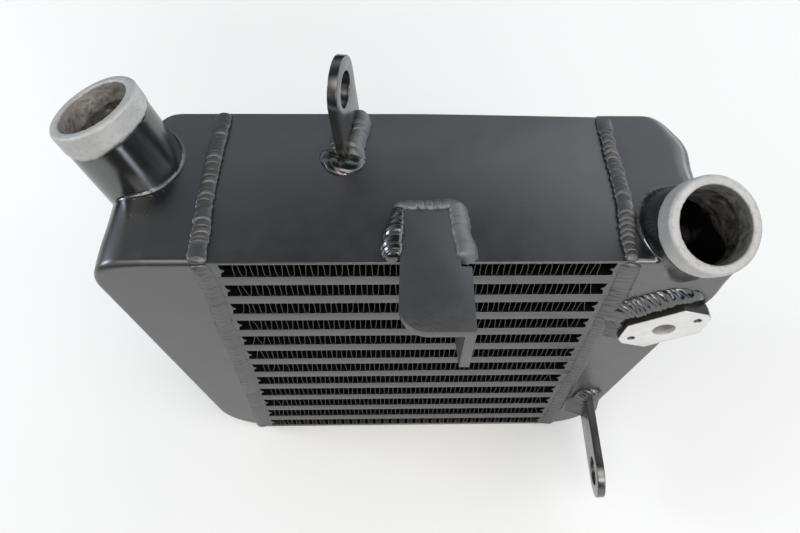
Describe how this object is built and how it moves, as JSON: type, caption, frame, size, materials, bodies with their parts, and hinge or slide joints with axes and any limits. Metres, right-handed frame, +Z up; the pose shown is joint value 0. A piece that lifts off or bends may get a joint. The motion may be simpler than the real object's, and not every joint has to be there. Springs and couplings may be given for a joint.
{
  "type": "intercooler",
  "caption": "Bar-and-plate air-to-air intercooler with cast end tanks, hose spigots, welded mounting brackets and a sensor flange.",
  "frame": {"origin": "centre of the bounding box in plan, at the height of the undersides of the seam welds that the part stands on", "axes": "+Z up, +X from the tank with the tall spigot to the tank with the sensor flange, +Y along the cooling air from the front face to the back"},
  "size_m": [0.3576, 0.1686, 0.2843],
  "materials": {
    "black_powder_coat": "satin black powder coat over cast and sheet aluminium",
    "painted_fin": "thin black coat on folded aluminium fin",
    "mill_aluminium": "brazed mill finish",
    "machined_aluminium": "machined face",
    "cast_aluminium": "bare sand-cast mouth"
  },
  "bodies": {
    "root": {"ambient_fin_01": "painted_fin", "ambient_fin_02": "painted_fin", "ambient_fin_03": "painted_fin", "ambient_fin_04": "painted_fin", "ambient_fin_05": "painted_fin", "ambient_fin_06": "painted_fin", "ambient_fin_07": "painted_fin", "ambient_fin_08": "painted_fin", "ambient_fin_09": "painted_fin", "ambient_fin_10": "painted_fin", "ambient_fin_11": "painted_fin", "ambient_fin_12": "painted_fin", "bottom_side_plate": "black_powder_coat", "charge_turbulator_01": "mill_aluminium", "charge_turbulator_02": "mill_aluminium", "charge_turbulator_03": "mill_aluminium", "charge_turbulator_04": "mill_aluminium", "charge_turbulator_05": "mill_aluminium", "charge_turbulator_06": "mill_aluminium", "charge_turbulator_07": "mill_aluminium", "charge_turbulator_08": "mill_aluminium", "charge_turbulator_09": "mill_aluminium", "charge_turbulator_10": "mill_aluminium", "charge_turbulator_11": "mill_aluminium", "front_bracket": "black_powder_coat", "front_bracket_weld": "black_powder_coat", "front_long_bars": "black_powder_coat", "left_end_bars": "black_powder_coat", "left_tank": "black_powder_coat", "left_tank_weld": "black_powder_coat", "lower_bracket": "black_powder_coat", "lower_bracket_weld": "black_powder_coat", "rear_long_bars": "black_powder_coat", "right_end_bars": "black_powder_coat", "right_tank": "black_powder_coat", "right_tank_weld": "black_powder_coat", "sensor_flange": "machined_aluminium", "sensor_flange_weld": "black_powder_coat", "separator_sheets": "mill_aluminium", "top_bracket": "black_powder_coat", "top_bracket_weld": "black_powder_coat", "top_side_plate": "black_powder_coat"}
  },
  "joints": []
}
